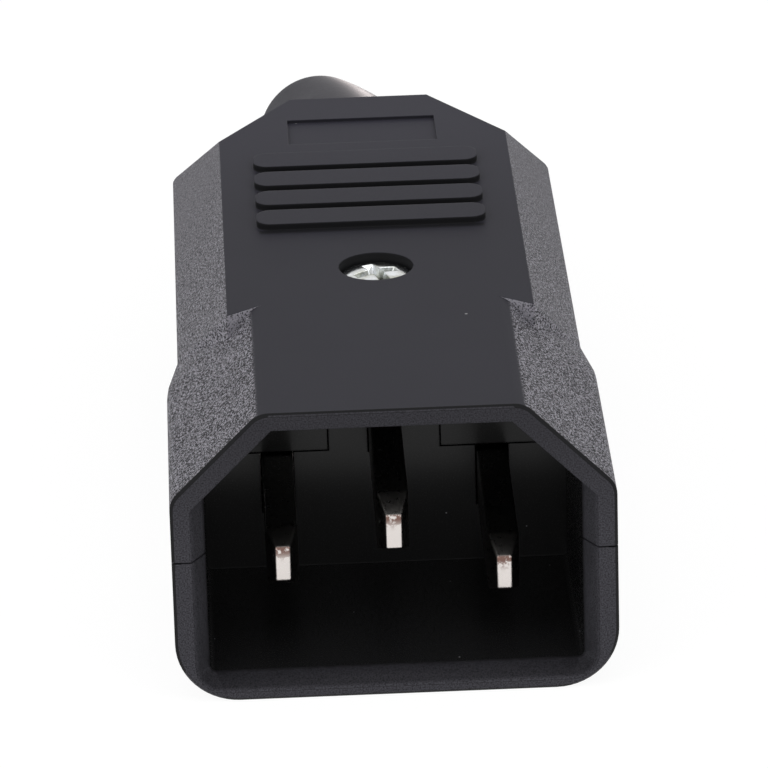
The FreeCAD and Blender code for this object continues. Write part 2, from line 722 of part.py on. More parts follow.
def make_cord_clamp():
    """The bar that grips the cord's jacket and the two screws that hold it down."""
    bar = new_body("cord_clamp_bar")
    half_length = (s.clamp_span + s.clamp_boss) / 2
    half_width = s.clamp_bar_width / 2
    plan = new_sketch(bar, "XY_Plane")
    draw_box(plan, -half_length, half_length, -half_width, half_width, s.clamp_boss / 2)
    extrude(plan, s.clamp_bar_height)
    channel = new_sketch(bar, "XZ_Plane", -half_width - s.spare)
    draw_circle(channel, s.cord_width, (CENTRE, s.clamp_channel - s.cord_width / 2))
    extrude(channel, s.clamp_bar_width + s.spare * 2, cut=True)
    holes = new_sketch(bar, "XY_Plane")
    for side in (-1, 1):
        draw_circle(holes, s.clamp_shank + s.fit_clearance * 2, (s.clamp_span / 2 * side, CENTRE))
    extrude(holes, s.clamp_bar_height, cut=True)
    bar.Placement.Base = FreeCAD.Vector(0, s.clamp_place.value, CLAMP_SEAT.value)
    for name, side in (("left_clamp_screw", -1), ("right_clamp_screw", 1)):
        screw = make_screw(name, s.clamp_head, s.clamp_head_height, s.clamp_shank,
                           s.clamp_bar_height + s.clamp_bite)
        cut_slot(screw, s.clamp_head + s.spare, s.clamp_head_height)
        screw.Placement.Base = FreeCAD.Vector(
            s.clamp_span.value / 2 * side, s.clamp_place.value, (CLAMP_SEAT + s.clamp_bar_height).value)


# strain relief

def tilt_sketch(sketch, along, angle):
    """Move a sketch along its own upright axis and turn it about its normal."""
    sketch.AttachmentOffset = FreeCAD.Placement(
        FreeCAD.Vector(0, along.value, 0), FreeCAD.Rotation(FreeCAD.Vector(0, 0, 1), angle.value))
    sketch.setExpression("AttachmentOffset.Base.y", along.text)
    sketch.setExpression("AttachmentOffset.Rotation.Angle", angle.text)


def make_cord_boot():
    """Soft strain relief: a trapped collar, a neck through the rear lip, a flange and a tail hung aside."""
    body = new_body("cord_boot")
    collar_back = -(s.lip_length + s.fit_clearance)
    collar_front = collar_back - s.collar_length
    collar_half = s.collar_width / 2
    neck_half = s.neck_width / 2
    flange_half = s.flange_width / 2
    flange_front = s.fit_clearance
    flange_back = flange_front + s.flange_length
    pivot = flange_front + s.flange_length / 2
    cord_half = s.cord_width / 2

    root = new_sketch(body, "XY_Plane")
    draw_outline(root, (0, collar_front), (collar_half, collar_front), (collar_half, collar_back),
                 (neck_half, collar_back), (neck_half, flange_front), (flange_half, flange_front),
                 (flange_half, flange_back - s.boot_bevel), (flange_half - s.boot_bevel, flange_back),
                 (0, flange_back))
    spin(root)
    tail = new_sketch(body, "XY_Plane")
    tilt_sketch(tail, pivot, s.boot_tilt)
    draw_outline(tail, (0, 0), (s.boot_root / 2, 0), (s.boot_tip / 2, s.boot_length - s.boot_bevel),
                 (s.boot_tip / 2 - s.boot_bevel, s.boot_length), (0, s.boot_length))
    spin(tail)

    straight_bore = new_sketch(body, "XY_Plane")
    draw_box(straight_bore, CENTRE, cord_half, collar_front - s.spare, pivot + s.spare)
    spin(straight_bore, cut=True)
    tail_bore = new_sketch(body, "XY_Plane")
    tilt_sketch(tail_bore, pivot, s.boot_tilt)
    draw_box(tail_bore, CENTRE, cord_half, -s.spare, s.boot_length + s.spare)
    spin(tail_bore, cut=True)
    body.Placement = FreeCAD.Placement(FreeCAD.Vector(0, s.body_length.value, 0),
                                       FreeCAD.Rotation(FreeCAD.Vector(0, 1, 0), -s.boot_roll.value))


make_upper_housing()
make_lower_housing()
make_side_contact("line", -1, s.line_lean)
make_side_contact("neutral", 1, s.neutral_lean)
make_earth_contact()
make_housing_screw()
make_cord_clamp()
make_cord_boot()
doc.recompute()

for item in doc.Objects:
    if "Invalid" in item.State or "Error" in item.State:
        raise RuntimeError(f"{item.Label} did not build: {item.State}")
pieces = [item for item in doc.Objects if item.TypeId == "PartDesign::Body"]
for piece in pieces:
    if piece.Shape.isNull() or not piece.Shape.isValid():
        raise RuntimeError(f"{piece.Label} has no valid shape")
    if len(piece.Shape.Solids) != 1:
        raise RuntimeError(f"{piece.Label} is {len(piece.Shape.Solids)} solids")
os.makedirs("parts", exist_ok=True)
for piece in pieces:
    piece.Shape.exportStep(f"parts/{piece.Label}.step")
    print(piece.Label, round(piece.Shape.Volume, 2))
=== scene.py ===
"""Studio scene of a rewirable inline power plug with three flat pins, in metres.

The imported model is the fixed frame. The halves of the housing and the pins are changed copies of their
solids. The closing screw and the soft strain relief are modelled here in their solids' places. The cord
clamp, its screws and the terminal screws keep their solids. Every piece gets a procedural finish.
"""
import logging
import math
from collections.abc import Callable, Iterable, Sequence
from dataclasses import dataclass
from enum import Enum

import bmesh
import bpy
from mathutils import Matrix, Vector


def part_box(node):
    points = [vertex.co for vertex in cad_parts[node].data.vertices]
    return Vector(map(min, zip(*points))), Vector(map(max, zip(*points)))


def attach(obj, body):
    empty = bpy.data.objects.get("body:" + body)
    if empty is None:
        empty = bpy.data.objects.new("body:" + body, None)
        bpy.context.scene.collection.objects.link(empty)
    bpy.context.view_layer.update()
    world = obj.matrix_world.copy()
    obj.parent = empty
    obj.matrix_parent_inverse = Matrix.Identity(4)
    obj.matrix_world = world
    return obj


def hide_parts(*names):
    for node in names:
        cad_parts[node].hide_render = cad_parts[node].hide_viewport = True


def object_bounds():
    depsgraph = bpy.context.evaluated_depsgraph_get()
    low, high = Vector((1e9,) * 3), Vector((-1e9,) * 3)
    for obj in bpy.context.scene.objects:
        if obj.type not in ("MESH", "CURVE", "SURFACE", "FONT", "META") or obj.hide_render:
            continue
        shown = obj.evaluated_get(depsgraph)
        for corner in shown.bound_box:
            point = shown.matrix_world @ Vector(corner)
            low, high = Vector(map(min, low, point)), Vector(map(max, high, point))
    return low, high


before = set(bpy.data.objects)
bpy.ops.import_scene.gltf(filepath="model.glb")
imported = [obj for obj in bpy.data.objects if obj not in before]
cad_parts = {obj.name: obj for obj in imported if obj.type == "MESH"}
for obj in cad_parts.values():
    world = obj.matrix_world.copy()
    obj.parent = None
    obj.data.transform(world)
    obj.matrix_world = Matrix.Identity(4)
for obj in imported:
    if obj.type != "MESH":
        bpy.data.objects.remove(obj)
CAD_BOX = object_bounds()
MM = 0.001
WELD = 1e-6
SPUN_WELD = 1e-7
THIN = 2e-6
NOISE_MEAN = 0.5
LOG = logging.getLogger("power_plug")

# a span is where a soft step starts and ends, a noise its cell and detail,
# specks their spacing, radius and share, and a relief its depth and strength
Colour = tuple[float, float, float]
Place = tuple[float, float, float]
Span = tuple[float, float]
Noise = tuple[float, float]
Specks = tuple[float, float, float]
Relief = tuple[float, float]


class Slot(Enum):
    """Names of material slots for the modelled pieces, which this script does not use."""

    HOUSING = "housing"
    CONTACT = "contact"
    SCREW = "screw"
    BOOT = "boot"


# shader expressions

class Wire:
    """A node's output that takes part in Python expressions."""

    def __init__(self, recipe: "Recipe", socket: bpy.types.NodeSocket) -> None:
        """Keep the socket and the recipe that adds the next nodes."""
        self.recipe = recipe
        self.socket = socket

    def __add__(self, other: "Wire | float") -> "Wire":
        """This value plus another."""
        return self.recipe.math("ADD", self, other)

    def __radd__(self, other: float) -> "Wire":
        """A number plus this value."""
        return self.recipe.math("ADD", other, self)

    def __sub__(self, other: "Wire | float") -> "Wire":
        """This value less another."""
        return self.recipe.math("SUBTRACT", self, other)

    def __rsub__(self, other: float) -> "Wire":
        """A number less this value."""
        return self.recipe.math("SUBTRACT", other, self)

    def __mul__(self, other: "Wire | float") -> "Wire":
        """This value times another."""
        return self.recipe.math("MULTIPLY", self, other)

    def __lt__(self, other: "Wire | float") -> "Wire":
        """One where this value is below another, else nought."""
        return self.recipe.math("LESS_THAN", self, other)

    def __gt__(self, other: "Wire | float") -> "Wire":
        """One where this value is above another, else nought."""
        return self.recipe.math("GREATER_THAN", self, other)

    def __abs__(self) -> "Wire":
        """This value without its sign."""
        return self.recipe.math("ABSOLUTE", self, 0.0)

    def __or__(self, other: "Wire | float") -> "Wire":
        """The larger of two masks."""
        return self.recipe.math("MAXIMUM", self, other)

    def rise(self, low: float, high: float) -> "Wire":
        """A soft step.

        Args:
            low: the value at which the step starts.
            high: the value at which it is complete.

        Returns:
            A value that goes smoothly from nought to one.
        """
        return self.recipe.wire("ShaderNodeMapRange", "Result", {"interpolation_type": "SMOOTHSTEP"},
                                {"Value": self, "From Min": low, "From Max": high})


class Recipe:
    """The node graph of one material or of the world."""

    noise_roughness: float = 0.6
    speck_edge: Span = (0.6, 1.4)
    bevel_samples: int = 6

    def __init__(self, tree: bpy.types.NodeTree) -> None:
        """Start from an empty graph."""
        self.tree = tree
        tree.nodes.clear()

    @classmethod
    def material(cls, name: str) -> "tuple[Recipe, bpy.types.Material]":
        """A new material and its empty graph."""
        material = bpy.data.materials.new(name)
        material.use_nodes = True
        return cls(material.node_tree), material

    def add(self, kind: str, settings: dict[str, object] | None = None,
            inputs: "dict[str | int, object] | None" = None) -> bpy.types.Node:
        """Add a node.

        Args:
            kind: the node's type.
            settings: the node's own properties, which are set first.
            inputs: a value or a wire for each socket that is set.

        Returns:
            The new node.
        """
        node = self.tree.nodes.new(kind)
        for name, value in (settings or {}).items():
            setattr(node, name, value)
        for name, value in (inputs or {}).items():
            if isinstance(value, Wire):
                self.tree.links.new(value.socket, node.inputs[name])
            else:
                node.inputs[name].default_value = value
        return node

    def wire(self, kind: str, output: str | int, settings: dict[str, object] | None = None,
             inputs: "dict[str | int, object] | None" = None) -> Wire:
        """Add a node and hand on one of its outputs.

        Args:
            kind: the node's type.
            output: the output's name or number.
            settings: the node's own properties.
            inputs: a value or a wire for each socket that is set.

        Returns:
            The chosen output.
        """
        return Wire(self, self.add(kind, settings, inputs).outputs[output])

    def math(self, operation: str, first: Wire | float, second: Wire | float) -> Wire:
        """One step of arithmetic on values."""
        return self.wire("ShaderNodeMath", 0, {"operation": operation}, {0: first, 1: second})

    def blend(self, factor: Wire, first: Wire | Colour, second: Wire | Colour) -> Wire:
        """Mix two colours.

        Args:
            factor: nought for the first colour, one for the second.
            first: a colour or the wire of one.
            second: the other colour.

        Returns:
            The mixed colour.
        """
        sides = [side if isinstance(side, Wire) else (*side, 1.0) for side in (first, second)]
        return self.wire("ShaderNodeMix", 2, {"data_type": "RGBA"}, {0: factor, 6: sides[0], 7: sides[1]})

    def level(self, factor: Wire, first: Wire | float, second: Wire | float) -> Wire:
        """Mix two values: nought gives the first, one gives the second."""
        return self.wire("ShaderNodeMix", 0, {"data_type": "FLOAT"}, {0: factor, 2: first, 3: second})

    def place(self, stretch: Place = (1.0, 1.0, 1.0)) -> Wire:
        """Object coordinates in millimetres.

        Args:
            stretch: how much finer a pattern gets along each axis.

        Returns:
            The coordinates as a vector.
        """
        spot = self.wire("ShaderNodeTexCoord", "Object")
        scale = tuple(part / MM for part in stretch)
        return self.wire("ShaderNodeVectorMath", 0, {"operation": "MULTIPLY"}, {0: spot, 1: scale})

    def parts(self, vector: Wire) -> tuple[Wire, Wire, Wire]:
        """The three parts of a vector as values."""
        node = self.add("ShaderNodeSeparateXYZ", None, {0: vector})
        return tuple(Wire(self, output) for output in node.outputs)

    def facing(self) -> tuple[Wire, Wire, Wire]:
        """The three parts of the surface's own direction."""
        return self.parts(self.wire("ShaderNodeTexCoord", "Normal"))

    def noise(self, cell: float, detail: float, stretch: Place = (1.0, 1.0, 1.0)) -> Wire:
        """Cloudy noise.

        Args:
            cell: the size of its blotches in millimetres.
            detail: how many finer layers it has.
            stretch: how much finer it is along each axis.

        Returns:
            A value round one half.
        """
        sockets = {"Vector": self.place(stretch), "Scale": 1 / cell, "Detail": detail,
                   "Roughness": self.noise_roughness}
        return self.wire("ShaderNodeTexNoise", "Fac", None, sockets)

    def specks(self, spacing: float, radius: float, share: float) -> Wire:
        """Sparse specks of dust.

        Args:
            spacing: the size of the cells that may hold one, in millimetres.
            radius: a speck's radius in millimetres.
            share: the share of cells that hold one.

        Returns:
            A mask of the specks.
        """
        sockets = {"Vector": self.place(), "Scale": 1 / spacing}
        cells = self.add("ShaderNodeTexVoronoi", {"feature": "F1"}, sockets)
        chance, _, _ = self.parts(Wire(self, cells.outputs["Color"]))
        near = Wire(self, cells.outputs["Distance"])
        start, end = (radius / spacing * edge for edge in self.speck_edge)
        return (1 - near.rise(start, end)) * (chance < share)

    def soft_edges(self, radius: float) -> Wire:
        """The surface's direction with its edges rounded, by a radius in millimetres."""
        return self.wire("ShaderNodeBevel", 0, {"samples": self.bevel_samples}, {"Radius": radius * MM})

    def relief(self, height: Wire, depth: float, strength: float, edges: Wire) -> Wire:
        """Raise a pattern on the surface.

        Args:
            height: the pattern, from nought to one.
            depth: its depth in millimetres.
            strength: how strongly it shows.
            edges: the direction that it starts from.

        Returns:
            The new direction.
        """
        return self.wire("ShaderNodeBump", 0, None,
                         {"Strength": strength, "Distance": depth * MM, "Height": height, "Normal": edges})

    def surface(self, settings: dict[str, object]) -> None:
        """Close a material with one shader whose sockets get these values and wires."""
        shader = self.wire("ShaderNodeBsdfPrincipled", 0, None, settings)
        self.add("ShaderNodeOutputMaterial", None, {"Surface": shader})


# finishes

@dataclass(frozen=True)
class HousingPlastic:
    """Black moulded plastic, in millimetres.

    It is smooth on top, spark-eroded on the flanks and polished in the cavity, with painted light and shade
    in its colour.
    """

    top: Colour = (0.0185, 0.018, 0.0245)
    # dark colour for painted shade on rib and recess walls, the rim's outer edge and in front of the ribs;
    # also the rim's dark grain
    cut: Colour = (0.008, 0.008, 0.009)
    flank_dark: Colour = (0.012, 0.0115, 0.0145)
    # the flanks' light specks are painted glints on the spark-eroded grain
    flank_painted_glint: Colour = (0.36, 0.35, 0.39)
    rim_high: Colour = (0.048, 0.0465, 0.055)
    # painted light: the rim gets lighter towards the bottom, as light bounced up from the floor
    rim_painted_bounce: Colour = (0.073, 0.071, 0.083)
    # painted shade on the mouth's lead-in, lighter on its sides than at top and bottom
    lead: Colour = (0.034, 0.033, 0.039)
    lead_side_shade: Colour = (0.052, 0.051, 0.059)
    polished: Colour = (0.011, 0.011, 0.0115)
    dust: Colour = (0.30, 0.30, 0.31)
    cloud_gain: float = 1.2
    # painted light: the top gets lighter towards the rear
    rear_painted_gain: float = 1.62
    # painted shade on the recess walls, as a share of the top's colour
    recess_shade_gain: float = 0.75
    grain: Noise = (0.125, 1.2)
    fine: Noise = (0.1, 1.0)
    cloud: Noise = (6.0, 3.0)
    lint: Specks = (5.0, 0.09, 0.25)
    cavity_lint: Specks = (1.3, 0.05, 0.2)
    roughness: float = 0.5
    fine_roughness: float = 0.12
    flank_roughness: float = 0.04
    cavity_smoothness: float = 0.3
    gloss: float = 0.1
    polish: float = 0.38
    polish_roughness: float = 0.2
    edge: float = 0.16
    relief: Relief = (0.05, 0.6)
    fine_height: float = 0.25
    top_share: float = 0.3
    up_facing: Span = (0.85, 0.95)
    rim_facing: Span = (0.8, 0.95)
    step_facing: Span = (0.25, 0.8)
    lead_facing: Span = (0.2, 0.7)
    flank_range: Span = (0.465, 0.595)
    fine_range: Span = (0.1, 0.75)
    step_calm: float = 0.45
    # painted light lifts front-facing step walls towards the glints
    step_painted_light: float = 0.07
    fade_run: Span = (4.0, 50.0)
    fade: float = 0.86
    fade_lift: float = 0.018
    rear_run: Span = (30.0, 56.0)
    top_height: float = 9.2
    cut_height: float = 7.5
    cut_half: float = 8.0
    cut_start: float = 20.0
    cut_end: float = 46.5
    rib_half: float = 7.5
    rib_front: float = 31.7
    rib_pitch: float = 3.65
    rib_end: float = 43.0
    # painted shadow in front of each rib: its depth, fade and strength
    rib_shadow_run: float = 0.8
    rib_shadow_fade: float = 0.6
    rib_shadow_share: float = 0.85
    recess_half: float = 5.4
    recess_end: float = 53.4
    shroud_half: float = 13.4
    mouth: float = 0.02
    lead_run: Span = (0.05, 0.4)
    cavity_run: Span = (1.3, 1.6)
    cavity_floor: float = -9.3
    cavity_roof: float = 9.8
    cavity_corner: float = 17.4
    cavity_end: float = 18.0
    rim_depth: float = 1.6
    rim_rise: Span = (0.0, 9.0)
    rim_bevel: float = 0.26

    def top_times(self, gain: float) -> Colour:
        """The top's colour, so many times as light."""
        return tuple(part * gain for part in self.top)

    def inside(self, recipe: Recipe) -> Wire:
        """A mask of the mouth and the cavity that takes the connector, in the plug's own coordinates.

        Args:
            recipe: the material's graph.

        Returns:
            One on the mouth's and the cavity's walls.
        """
        across, along, up = recipe.parts(recipe.place())
        between_sides = abs(across) < self.shroud_half
        between_levels = (up > self.cavity_floor) * (up < self.cavity_roof)
        under_bevels = abs(across) + up < self.cavity_corner
        behind_rim = (along > self.mouth) * (along < self.cavity_end)
        return between_sides * between_levels * under_bevels * behind_rim

    def rib_painted_shadow(self, recipe: Recipe) -> Wire:
        """A mask of the painted shadow in front of each rib.

        Args:
            recipe: the material's graph.

        Returns:
            One along the foot of each rib, fading to the front.
        """
        across, along, _ = recipe.parts(recipe.place())
        start = self.rib_front - self.rib_shadow_run
        step = recipe.math("MODULO", along - start, self.rib_pitch)
        line = step.rise(0.0, self.rib_shadow_run * self.rib_shadow_fade) * (step < self.rib_shadow_run)
        return line * (abs(across) < self.rib_half) * (along > start) * (along < self.rib_end)

    def make(self) -> bpy.types.Material:
        """Make the material.

        Returns:
            The material of both halves of the housing.
        """
        recipe, material = Recipe.material("housing_plastic")
        across, along, up = recipe.parts(recipe.place())
        _, facing_back, facing_up = recipe.facing()
        facing_front = 0 - facing_back
        top = facing_up.rise(*self.up_facing) * (up > self.top_height)
        inside = self.inside(recipe)
        cavity = inside * along.rise(*self.cavity_run)
        lead = inside * along.rise(*self.lead_run)
        rim = inside | (facing_front.rise(*self.rim_facing) * (along < self.rim_depth))
        ribs = (abs(across) < self.cut_half) * (along > self.cut_start) * (along < self.cut_end)
        recess = (abs(across) < self.recess_half) * (along > self.cut_end) * (along < self.recess_end)
        # painted dark reflection on the rim's outer rounded edge
        line = (along < self.rim_bevel) * (1 - rim)
        # painted shade on rib and recess walls, and the painted reflection on the rim's edge
        cut = (1 - top) * (up > self.cut_height) * (ribs | recess) | line
        flank = (1 - (top | rim)) * (1 - (cavity | cut))
        step = facing_front.rise(*self.step_facing)
        calm = 1 - step * self.step_calm

        grain = recipe.noise(*self.grain)
        fine = recipe.noise(*self.fine)
        cloud = recipe.noise(*self.cloud)
        lint = recipe.specks(*self.lint) * (top | cavity) | recipe.specks(*self.cavity_lint) * cavity
        fade = 1 - along.rise(*self.fade_run) * self.fade
        # painted light on front-facing step walls, plus a lift of the grain towards the rear
        painted_light_lift = step * self.step_painted_light + (1 - fade) * self.fade_lift
        glint_pattern = (grain - NOISE_MEAN) * (fade * calm) + NOISE_MEAN + painted_light_lift

        # the grain picks between the dark flank and its painted glints
        flank_grain_and_glints = recipe.blend(glint_pattern.rise(*self.flank_range), self.flank_dark, self.flank_painted_glint)
        # painted shade on the lead-in, chosen by which way it faces
        lead_shade_colour = recipe.blend(abs(facing_up).rise(*self.lead_facing), self.lead_side_shade, self.lead)
        # painted light bounced from the floor, lighter towards the rim's bottom
        rim_colour = recipe.blend(up.rise(*self.rim_rise), self.rim_painted_bounce, self.rim_high)
        rim_colour = recipe.blend(lead, rim_colour, lead_shade_colour)
        rim_colour = recipe.blend(fine.rise(*self.fine_range), self.cut, rim_colour)
        top_colour = recipe.blend(cloud, self.top, self.top_times(self.cloud_gain))
        # painted light, lighter towards the rear
        top_colour = recipe.blend(along.rise(*self.rear_run), top_colour, self.top_times(self.rear_painted_gain))
        # painted shadow in front of each rib
        top_colour = recipe.blend(self.rib_painted_shadow(recipe) * self.rib_shadow_share, top_colour, self.cut)
        painted_dark_colour = recipe.blend(recess, self.cut, self.top_times(self.recess_shade_gain))
        colour = recipe.blend(flank, rim_colour, flank_grain_and_glints)
        colour = recipe.blend(top, colour, top_colour)
        colour = recipe.blend(cavity, colour, self.polished)
        colour = recipe.blend(cut, colour, painted_dark_colour)

        roughness = self.roughness + fine * self.fine_roughness + flank * self.flank_roughness
        height = grain * flank * calm + fine * self.fine_height * (rim * (1 - lead) + top * self.top_share)
        recipe.surface({
            "Base Color": recipe.blend(lint, colour, self.dust),
            "Roughness": roughness - cavity * self.cavity_smoothness,
            "Specular IOR Level": self.gloss,
            "Coat Weight": cavity * self.polish,
            "Coat Roughness": self.polish_roughness,
            "Normal": recipe.relief(height, *self.relief, recipe.soft_edges(self.edge)),
        })
        return material


@dataclass(frozen=True)
class PlatedMetal:
    """A plated metal with a fine grain, cloudy plating and softly rounded edges, in millimetres."""

    name: str
    colour: Colour
    stain: Colour
    roughness: float
    # below this level the colour is painted shade: the cross recess and the head's lower part
    shade_level: float = -1000.0
    shade: Colour = (0.20, 0.20, 0.16)
    shade_run: Span = (0.0, 0.5)
    cloud: Noise = (1.1, 4.0)
    cloud_range: Span = (0.35, 0.75)
    cloud_roughness: float = 0.12
    grain: Noise = (0.22, 3.0)
    grain_roughness: float = 0.1
    relief: Relief = (0.012, 0.35)
    edge: float = 0.12

    def make(self) -> bpy.types.Material:
        """Make the material.

        Returns:
            The metal's material, with painted shade below the shade's level.
        """
        recipe, material = Recipe.material(self.name)
        _, _, up = recipe.parts(recipe.place())
        cloud = recipe.noise(*self.cloud)
        grain = recipe.noise(*self.grain)
        clouding = (cloud - NOISE_MEAN) * self.cloud_roughness
        graining = (grain - NOISE_MEAN) * self.grain_roughness
        colour = recipe.blend(cloud.rise(*self.cloud_range), self.colour, self.stain)
        recipe.surface({
            "Base Color": recipe.blend((self.shade_level - up).rise(*self.shade_run), colour, self.shade),
            "Roughness": self.roughness + clouding + graining,
            "Metallic": 1.0,
            "Normal": recipe.relief(grain, *self.relief, recipe.soft_edges(self.edge)),
        })
        return material


INNER_ZINC = PlatedMetal("zinc_plate", colour=(0.74, 0.75, 0.72), stain=(0.58, 0.58, 0.53), roughness=0.26)


@dataclass(frozen=True)
class PinPlate:
    """Nickel plate on a pin, in millimetres.

    It is bright and a little tarnished on the pin's end; its sides are painted dark, a painted reflection
    of the dark cavity.
    """

    end: Colour = (0.76, 0.71, 0.68)
    # painted dark reflection along the pin's sides
    side: Colour = (0.13, 0.125, 0.12)
    tarnish: Colour = (0.20, 0.12, 0.10)
    dust: Colour = (0.6, 0.58, 0.56)
    end_facing: Span = (0.6, 0.95)
    spots: Noise = (0.28, 3.0)
    spot_roughness: float = 0.2
    lines: Noise = (0.22, 3.0)
    line_stretch: Place = (1.0, 0.15, 1.0)
    line_roughness: float = 0.1
    line_height: float = 0.3
    worn_height: float = 1.15
    worn_run: Span = (0.0, 0.95)
    worn_lean: float = 0.2
    worn_range: Span = (0.52, 0.68)
    lint: Specks = (0.45, 0.035, 0.3)
    dusty_length: float = 3.2
    roughness: float = 0.3
    relief: Relief = (0.03, 0.4)
    edge: float = 0.1

    def make(self, name: str, tip: Vector) -> bpy.types.Material:
        """Make the material of one pin.

        Args:
            name: the material's name.
            tip: the middle of the top edge of the pin's end.

        Returns:
            The pin's material.
        """
        recipe, material = Recipe.material(name)
        _, along, up = recipe.parts(recipe.place())
        _, facing_back, _ = recipe.facing()
        end = (0 - facing_back).rise(*self.end_facing)
        spots = recipe.noise(*self.spots)
        lines = recipe.noise(*self.lines, self.line_stretch)
        high = (up - (tip.z - self.worn_height)).rise(*self.worn_run)
        worn = (spots + high * self.worn_lean).rise(*self.worn_range) * high
        lint = recipe.specks(*self.lint) * (along < tip.y + self.dusty_length) * (1 - end)
        # bright nickel on the end, painted dark reflection on the sides
        colour = recipe.blend(end, self.side, recipe.blend(worn, self.end, self.tarnish))
        spotting = (spots - NOISE_MEAN) * self.spot_roughness
        lining = (lines - NOISE_MEAN) * self.line_roughness
        height = spots * end + lines * self.line_height
        recipe.surface({
            "Base Color": recipe.blend(lint, colour, self.dust),
            "Roughness": self.roughness + spotting + lining,
            "Metallic": 1.0 - lint,
            "Normal": recipe.relief(height, *self.relief, recipe.soft_edges(self.edge)),
        })
        return material


@dataclass(frozen=True)
class SoftSatin:
    """A plain dark moulding or rubber with a satin skin and faint handling marks, in millimetres."""

    name: str
    colour: Colour
    bloom: Colour
    roughness: float
    gloss: float
    grain: float
    grain_detail: float = 2.0
    grain_roughness: float = 0.08
    cloud: Noise = (5.0, 4.0)
    cloud_range: Span = (0.4, 0.8)
    cloud_roughness: float = 0.15
    relief: Relief = (0.01, 0.3)
    edge: float = 0.1

    def make(self) -> bpy.types.Material:
        """Make the material.

        Returns:
            The satin material.
        """
        recipe, material = Recipe.material(self.name)
        cloud = recipe.noise(*self.cloud)
        skin = recipe.noise(self.grain, self.grain_detail)
        clouding = (cloud - NOISE_MEAN) * self.cloud_roughness
        graining = (skin - NOISE_MEAN) * self.grain_roughness
        recipe.surface({
            "Base Color": recipe.blend(cloud.rise(*self.cloud_range), self.colour, self.bloom),
            "Roughness": self.roughness + clouding + graining,
            "Specular IOR Level": self.gloss,
            "Normal": recipe.relief(skin, *self.relief, recipe.soft_edges(self.edge)),
        })
        return material


# meshes

def finish_mesh(shape: bmesh.types.BMesh, name: str, node: str,
                material: bpy.types.Material, crease: float = 35.0) -> bpy.types.Object:
    """Turn a bmesh into a finished piece that stands for a solid.

    Args:
        shape: the piece's mesh, which is freed.
        name: the piece's name.
        node: the solid that it replaces.
        material: its finish.
        crease: the angle in degrees past which an edge stays sharp.

    Returns:
        The new object, which rides on the plug.
    """
    for face in shape.faces:
        face.smooth = True
    for edge in shape.edges:
        edge.smooth = edge.calc_face_angle(0.0) < math.radians(crease)
    mesh = bpy.data.meshes.new(name)
    shape.to_mesh(mesh)
    shape.free()
    mesh.materials.append(material)
    piece = bpy.data.objects.new(name, mesh)
    bpy.context.scene.collection.objects.link(piece)
    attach(piece, "root")
    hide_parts(node)
    return piece


def add_profile(shape: bmesh.types.BMesh, corners: Sequence[Vector],
                closed: bool) -> list[bmesh.types.BMEdge]:
    """Draw a chain of edges.

    Args:
        shape: the mesh that gets them.
        corners: the chain's points.
        closed: whether the last point joins the first.

    Returns:
        The new edges.
    """
    verts = [shape.verts.new(corner) for corner in corners]
    ends = verts[1:] + verts[:1] if closed else verts[1:]
    return [shape.edges.new(pair) for pair in zip(verts, ends)]


def turn_profile(shape: bmesh.types.BMesh, corners: Sequence[Vector], centre: Vector, axis: Vector,
                 steps: int, closed: bool = False) -> None:
    """Turn a profile into a solid of revolution.

    Args:
        shape: the mesh that gets the solid.
        corners: the profile's points.
        centre: a point on the axis.
        axis: the axis's direction.
        steps: the number of facets round it.
        closed: whether the profile is a ring that stays clear of the axis.
    """
    edges = add_profile(shape, corners, closed)
    bmesh.ops.spin(shape, geom=edges, cent=centre, axis=axis, angle=math.tau, steps=steps, use_merge=True)
    bmesh.ops.remove_doubles(shape, verts=shape.verts, dist=SPUN_WELD)
    bmesh.ops.recalc_face_normals(shape, faces=shape.faces)


def drop_thin(shape: bmesh.types.BMesh) -> None:
    """Merge the points that lie together and drop faces without width, in a mesh in metres."""
    bmesh.ops.remove_doubles(shape, verts=shape.verts, dist=THIN)
    bmesh.ops.dissolve_degenerate(shape, edges=shape.edges, dist=THIN)


# sub-assemblies

